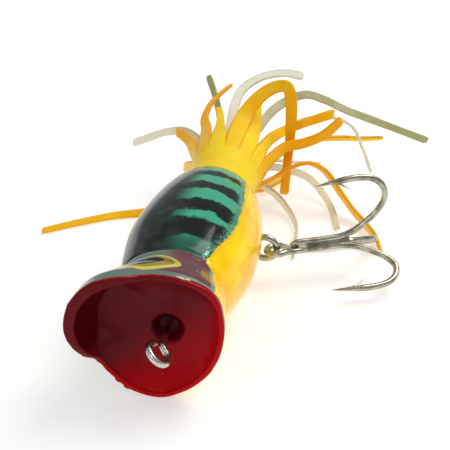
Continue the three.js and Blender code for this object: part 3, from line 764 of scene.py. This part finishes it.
def steel_material(name, tint, tarnish):
    """Plated wire: draw lines, dull patches and dark tarnish spots."""
    paint = Paint(name)
    where = paint.vector("wire")
    patches = paint.noise(where, 0.5, detail=4, roughness=0.6)
    fine = paint.noise(paint.stretched(where, (0.3, 6, 6)), 2.0, detail=4)
    colour = paint.mix(patches.step(0.35, 0.75) * tarnish, tint, TARNISH)
    spots = paint.noise(where, 2.2, detail=3).step(0.66, 0.74) * tarnish
    colour = paint.mix(spots, colour, TARNISH_DARK)
    roughness = patches * 0.22 + fine * 0.1 + 0.08
    paint.bump(fine * 0.4 + patches, 0.02 * MM)
    return paint.finish(colour, roughness, 1.0)


def wire_piece(name, parts, to_frame, material, body, *nodes):
    vertices, faces = joined([loft_data(rings) for rings in parts])
    piece = mesh_object(name, to_frame(vertices), faces, material)
    point_values(piece, "wire", vertices)
    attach(piece, body)
    if nodes:
        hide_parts(*nodes)
    return piece


def screw_eye_rings(outside, shaft_end):
    """A wire bent round into an open eye on a plain shaft that runs along +y."""
    middle = (outside - WIRE) / 2
    shaft = [(0, shaft_end - 0.4 * k * (shaft_end - middle - 1.2), 0) for k in (0, 1, 2)]
    neck = [(0, middle + 0.85, 0), (0.18, middle + 0.3, 0)]
    angles = np.radians(np.linspace(64, -244, 22))
    loop = [(middle * math.cos(a), middle * math.sin(a), 0) for a in angles]

    def radius_at(share):
        return WIRE / 2 * min(1.0, 0.35 + share * 12) * min(1.0, 0.6 + (1 - share) * 25)

    return wire_rings([*shaft, *neck, *loop], radius_at, 150)


def line_tie_piece(material):
    turn = turn_matrix(LINE_TIE["turn"], "Y")

    def to_frame(points):
        return place(from_body(points @ turn.T + np.array([0, LINE_TIE["y"], 0])))

    rings = screw_eye_rings(LINE_TIE["outside"], LINE_TIE["shaft_end"] - LINE_TIE["y"])
    return wire_piece("line_tie", [rings], to_frame, material, "lure", "line_tie_screw_eye")


def belly_eye_middle():
    belly = along(SECTIONS, 1, BELLY_EYE["y"])
    return np.array([belly + BELLY_EYE["stand_off"], BELLY_EYE["y"], 0])


def belly_eye_piece(material):
    axes = np.array([[0, -1, 0], [0, 0, 1], [-1, 0, 0]], float)

    def to_frame(points):
        return place(from_body(points @ axes.T + belly_eye_middle()))

    rings = screw_eye_rings(BELLY_EYE["outside"], BELLY_EYE["shaft"])
    return wire_piece("belly_eye", [rings], to_frame, material, "lure", "belly_screw_eye")


# ---- Treble ----

def spin(u, v, degrees):
    """A point at u along the shank and v out from it, turned about the shank."""
    a = math.radians(degrees)
    return np.array([u, -v * math.sin(a), v * math.cos(a)])


def hook_points(degrees, share, offset):
    return [spin(u, v * share, degrees) + offset for u, v in HOOK_RUN]


def point_taper(share):
    if share < 0.86:
        return WIRE / 2
    left = (1 - share) / 0.14
    return WIRE / 2 * (0.05 + 0.95 * left**0.75)


def barb_rings(degrees, share, offset):
    """A thin spur that was cut up from the wire near the point."""
    root = spin(BARB["from"][0] - 0.6, BARB["from"][1] * share, degrees) + offset
    start = spin(BARB["from"][0] + 0.5, (BARB["from"][1] - 0.25) * share, degrees) + offset
    tip = spin(BARB["tip"][0], BARB["tip"][1] * share, degrees) + offset
    side = spin(0, 1, degrees + 90)
    return wire_rings([root, start, (start + tip) / 2, tip], lambda s: 0.34 * (1.04 - s), 14, sides=10,
                      first_normal=side, flatten=lambda s: 0.55)


def forged(share):
    """The bend is pressed a little flat between the shank and the point."""
    return 1 - 0.16 * float(smoothstep(share, 0.35, 0.5) * smoothstep(share, 0.85, 0.7))


def double_wire():
    middle = (TREBLE["eye_inside"] + WIRE) / 2
    offsets = [spin(0, TREBLE["spread"], d) for d in (120, 240)]
    share = TREBLE["double_share"]
    turns = [math.radians(d) for d in (-125, -94, -62, -31, 0, 31, 62, 94, 125)]
    lift = TREBLE["eye_lift"]
    eye = [np.array([-middle * math.cos(a), middle * math.sin(a), lift]) for a in turns]
    run = [*reversed(hook_points(120, share, offsets[0])), *eye, *hook_points(240, share, offsets[1])]
    rings = wire_rings(run, lambda s: point_taper(abs(2 * s - 1)), 420)
    return [rings, barb_rings(120, share, offsets[0]), barb_rings(240, share, offsets[1])]


def single_wire():
    offset = spin(0, TREBLE["spread"] + 0.3, 0)
    start = spin(2.4, -0.25, 0) + offset
    run = [start, *hook_points(0, 1, offset)]
    rings = wire_rings(run, lambda s: point_taper(s) * min(1.0, 0.55 + s * 14), 220,
                       first_normal=(0, 1, 0), flatten=forged)
    return [rings, barb_rings(0, 1, offset)]


def braze_rings():
    """The solder that fills the corner between the three shanks, lumpy along its length."""
    rng = np.random.default_rng(3)
    rings = []
    steps, sides = 60, 18
    lumps = np.interp(np.linspace(0, 1, steps), np.linspace(0, 1, 12), rng.uniform(0.86, 1.08, 12))
    turn = np.linspace(0, 2 * math.pi, sides, endpoint=False)
    for s in range(steps):
        share = s / (steps - 1)
        u = BRAZE["start"] + BRAZE["length"] * share
        ends = math.sin(math.pi * min(1, max(0, share))) ** 0.25 if 0 < share < 1 else 0.05
        swell = 1.0 + 0.18 * math.exp(-(((u - 4.6) / 1.6) ** 2))
        radius = (0.98 + 0.13 * np.cos(3 * turn)) * lumps[s] * ends * swell
        across, up = radius * np.sin(turn), radius * np.cos(turn) + BRAZE["lift"]
        rings.append(np.stack([np.full(sides, u), across, up], axis=1))
    return np.array(rings)


def treble_to_frame(points):
    turn = turn_matrix(HOOK_YAW, "Z") @ turn_matrix(-HOOK_RISE, "Y") @ turn_matrix(HOOK_SPIN, "X")
    ring_middle = from_body(belly_eye_middle()[None])[0]
    reach = (BELLY_EYE["outside"] - WIRE) / 2
    pivot = np.array([ring_middle[0] + reach, ring_middle[1], TREBLE["height"]])
    return place(points @ turn.T + pivot)


def treble_pieces(material):
    braze = steel_material("braze", linear(172, 168, 148), 0.9)
    wire_piece("treble_double", double_wire(), treble_to_frame, material, "treble_hook", "treble_double_wire")
    wire_piece("treble_single", single_wire(), treble_to_frame, material, "treble_hook", "treble_single_wire")
    wire_piece("treble_braze", [braze_rings()], treble_to_frame, braze, "treble_hook")


# ---- Skirt ----

def rubber_material(name, pale, deep, edge, clear=0.0):
    """Soft rubber: tone is painted shade, from the pale lit colour to the deep shaded one, with painted shade
    along each strip's edges, flow marks along the strand and a few specks.
    """
    paint = Paint(name)
    where = paint.vector("strip")
    tone = paint.value("tone")
    cloud = paint.noise(where, 0.22, detail=3)
    flow = paint.noise(paint.stretched(where, (3.2, 0.35, 3.2)), 1.0, detail=4)
    # Painted shade: tone pulls the colour toward the deep shaded rubber where a strand lies in shade; the
    # cloud noise adds real unevenness.
    colour = paint.mix((tone + (cloud - 0.5) * 0.8).step(0.0, 1.0), pale, deep)
    # Painted shade: each strip's side edges are painted toward the darker edge colour; the specks below use
    # the same colour as real specks.
    colour = paint.mix(paint.value("rim").step(0.72, 1.0) * 0.5, colour, edge)
    speck = paint.noise(where, 2.6, detail=1).step(0.77, 0.79)
    colour = paint.mix(speck * 0.5, colour, edge)
    roughness = flow * 0.22 + 0.28
    paint.bump(flow * 0.5 + cloud * 0.5 + speck * 0.4, 0.05 * MM)
    paint.shader.inputs["Subsurface Radius"].default_value = (1.0, 0.7, 0.3)
    return paint.finish(colour, roughness, Subsurface_Weight=0.2, Subsurface_Scale=0.5 * MM,
                        Specular_IOR_Level=0.25, Transmission_Weight=clear, IOR=1.35)


def tube_radius(tube, y):
    """Outside radius of a skirt tube along its length."""
    half = SKIRT_START + 0.45 * (SKIRT_END - SKIRT_START)
    radii = [tube["start"], tube["start"] + 0.1, tube["end"]]
    return float(np.interp(y, [SKIRT_START, half, SKIRT_END], radii))


def tube_rings(tube):
    """A tube with a rolled collar at its front and a thin rear end, as one closed wall."""
    count = 120
    turn = np.linspace(0, 2 * math.pi, count, endpoint=False)
    collar, end_y = tube["collar"], tube["end_y"]
    profile = []
    for share in np.linspace(0, 1, 40):
        y = SKIRT_START + (end_y - SKIRT_START) * share
        bead = collar * (math.exp(-(((y - SKIRT_START - 0.7) / 0.55) ** 2)) - 0.5 * math.exp(
            -(((y - SKIRT_START - 2.0) / 0.5) ** 2)))
        profile.append((tube_radius(tube, y) + bead, y))
    inner = [(tube_radius(tube, y) - tube["thick"], y) for y in np.linspace(end_y, SKIRT_START, 12)]
    front = profile[0][0]
    profile = [(front - 0.35, SKIRT_START), (front - 0.1, SKIRT_START + 0.02), *profile, *inner]
    return np.array([
        np.stack([r * np.cos(turn), np.full(count, y), AXIS_HEIGHT + r * np.sin(turn)], axis=1)
        for r, y in profile
    ])


def tube_piece(name, tube, material, node):
    rings = tube_rings(tube)
    rows, count = rings.shape[:2]
    faces = [
        (r * count + i, r * count + (i + 1) % count, (r + 1) % rows * count + (i + 1) % count,
         (r + 1) % rows * count + i)
        for r in range(rows) for i in range(count)
    ]
    vertices = rings.reshape(-1, 3)
    piece = mesh_object(name, place(vertices), facing_out(vertices, faces), material)
    point_values(piece, "strip", vertices)
    # Painted shade for the whole tube, as one tone.
    point_values(piece, "tone", np.full(len(vertices), tube["tone"]))
    point_values(piece, "rim", np.zeros(len(vertices)))
    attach(piece, "lure")
    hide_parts(node)
    return piece


def strand_rings(tube, strand, sector, rng):
    """A ribbon that grows out of its tube as a curved gusset and narrows to a flat strip."""
    _, angle, widths, _, points = strand
    gusset_y = tube["gusset_y"]
    a = math.radians(angle)
    out = np.array([math.cos(a), 0, math.sin(a)])
    axis = np.array([0, 0, AXIS_HEIGHT])
    half_thick = tube["thick"] / 2

    def on_tube(y, proud=0.06):
        return axis + out * (tube_radius(tube, min(y, SKIRT_END)) - half_thick + proud) + np.array([0, y, 0])

    start = on_tube(ROOT_Y)
    lead = start + out * 0.2 + np.array([0, 1.4, 0])
    run = [on_tube(gusset_y, -0.1), on_tube((gusset_y + ROOT_Y) / 2), start, lead, *points]
    length = np.linalg.norm(np.diff(np.array(run), axis=0), axis=1).sum()
    steps = int(length / 0.45) + 8
    curve = smooth_curve(run, steps)
    tangents, normals = frames_along(curve, out)
    root_share = (ROOT_Y - gusset_y) / length
    gusset = tube["end"] * math.radians(sector) / 2 * 1.03
    wobble = np.interp(np.linspace(0, 1, steps), np.linspace(0, 1, 9), rng.uniform(-1, 1, 9))
    slant = rng.uniform(-0.45, 0.45)
    section = ribbon_section()
    rings = []
    for s in range(steps):
        t = s / (steps - 1)
        strip_t = max(0.0, (t - root_share) / (1 - root_share))
        width = widths[1] + (widths[0] - widths[1]) * (1 - strip_t) ** 2
        blend = float(smoothstep(t, root_share * 0.6, min(0.6, root_share * 3.4)))
        half = (1 - blend) * gusset + blend * width / 2 * (1 + 0.06 * wobble[s])
        tip = min(1.0, 0.7 + (1 - t) * length / 0.5 * 0.3)
        thick = half_thick * (1 - 0.25 * strip_t) * tip
        side = np.cross(tangents[s], normals[s])
        across = section[:, 0] * half * tip
        bow = (1 - blend) * across**2 / (2 * tube["end"])
        cut = slant * across * float(smoothstep(t, 1 - 1.2 / length, 1))
        rings.append(
            curve[s] + np.outer(across, side) + np.outer(section[:, 1] * thick - bow, normals[s])
            + np.outer(cut, tangents[s])
        )
    return np.array(rings), section


def ribbon_section():
    """A flat strip's section with rounded edges, as shares of half its width and thickness."""
    flat = np.linspace(-0.82, 0.82, 7)
    top = [(x, 1.0) for x in flat]
    right = [(0.95, 0.78), (1.0, 0.0), (0.95, -0.78)]
    bottom = [(x, -1.0) for x in flat[::-1]]
    left = [(-0.95, -0.78), (-1.0, 0.0), (-0.95, 0.78)]
    return np.array(top + right + bottom + left)


def strand_pieces(prefix, tube, strands, material):
    rng = np.random.default_rng(11)
    order = sorted(s[1] for s in strands)
    for strand in strands:
        name, angle, _, tones, _ = strand
        k = order.index(angle)
        before = (angle - order[k - 1]) % 360
        after = (order[(k + 1) % len(order)] - angle) % 360
        rings, section = strand_rings(tube, strand, min(before, after, WIDEST_GUSSET), rng)
        vertices, faces = loft_data(rings)
        piece = mesh_object(f"{prefix}_{name}", place(vertices), faces, material)
        point_values(piece, "strip", vertices)
        # Painted shade for each strand, from its root's tone to its tip's.
        tone = np.repeat(np.linspace(*tones, len(rings)), len(section))
        point_values(piece, "tone", np.r_[tone, tones])
        edge = np.tile(np.abs(section[:, 0]), len(rings))
        point_values(piece, "rim", np.r_[edge, 0, 0])
        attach(piece, "lure")
        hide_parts(f"{prefix}_strand_{name}")


def skirt():
    # The deep colours stand for each rubber in shade: painted shade, orange on the yellow strands and olive
    # on the cream ones.
    yellow = rubber_material("yellow_rubber", linear(252, 226, 50), linear(252, 176, 0), linear(226, 148, 4))
    cream = rubber_material(
        "cream_rubber", linear(255, 253, 236), linear(182, 178, 122), linear(214, 208, 168), clear=0.4)
    outer = tube_piece("skirt_outer", OUTER, yellow, "skirt_outer_tube")
    inner = tube_piece("skirt_inner", INNER, cream, "skirt_inner_tube")
    strand_pieces("outer", OUTER, OUTER_STRANDS, yellow)
    strand_pieces("inner", INNER, INNER_STRANDS, cream)


# ---- Stage ----

def floor():
    paint = Paint("floor_white")
    shader = paint.shader
    shader.inputs["Base Color"].default_value = (0.62, 0.62, 0.61, 1)
    shader.inputs["Roughness"].default_value = 0.9
    shader.inputs["Specular IOR Level"].default_value = 0.0
    shader.inputs["Emission Color"].default_value = (1, 1, 0.985, 1)
    shader.inputs["Emission Strength"].default_value = 0.5
    size = 1.5
    corners = [(-size, -size, 0), (size, -size, 0), (size, size, 0), (-size, size, 0)]
    plane = mesh_object("floor", corners, [(0, 1, 2, 3)], paint.material, smooth=False)


def area_light(name, place_at, aim, size, power, colour=(1, 1, 1)):
    light = bpy.data.lights.new(name, "AREA")
    light.shape = "RECTANGLE"
    light.size, light.size_y = size
    light.energy = power
    light.color = colour
    lamp = bpy.data.objects.new(name, light)
    lamp.location = place_at
    lamp.rotation_euler = (Vector(aim) - Vector(place_at)).to_track_quat("-Z", "Y").to_euler()
    bpy.context.scene.collection.objects.link(lamp)


def lights():
    world = bpy.data.worlds.new("studio")
    bpy.context.scene.world = world
    world.use_nodes = True
    background = world.node_tree.nodes["Background"]
    background.inputs["Color"].default_value = (0.97, 0.98, 1.0, 1)
    background.inputs["Strength"].default_value = 0.42
    middle = (0, 0, 0.01)
    area_light("key_softbox", (0.22, 0.16, 0.42), middle, (0.34, 0.26), 1.5, (1, 0.985, 0.96))
    area_light("left_window", (-0.42, 0.05, 0.26), middle, (0.09, 0.13), 0.1, (0.9, 0.95, 1))
    area_light("front_fill", (-0.1, -0.45, 0.34), middle, (0.4, 0.2), 0.35)


def camera():
    azimuth, elevation = math.radians(CAMERA["azimuth"]), math.radians(CAMERA["elevation"])
    back = Vector((
        math.sin(azimuth) * math.cos(elevation),
        -math.cos(azimuth) * math.cos(elevation),
        math.sin(elevation),
    ))
    lens = bpy.data.cameras.new("camera")
    lens.lens = CAMERA["lens"]
    lens.sensor_width = 36
    lens.clip_start = 0.01
    eye = bpy.data.objects.new("camera", lens)
    target = Vector(place(CAMERA["target"]))
    eye.location = target + back * CAMERA["distance"] * MM
    eye.rotation_euler = back.to_track_quat("Z", "Y").to_euler()
    bpy.context.scene.collection.objects.link(eye)
    bpy.context.scene.camera = eye


camera()
body_piece()
steel = steel_material("plated_steel", linear(196, 193, 176), 0.8)
line_tie_piece(steel_material("bright_steel", linear(212, 210, 200), 0.35))
belly_eye_piece(steel)
treble_pieces(steel)
skirt()
floor()
lights()
bpy.context.scene.view_settings.view_transform = "Standard"
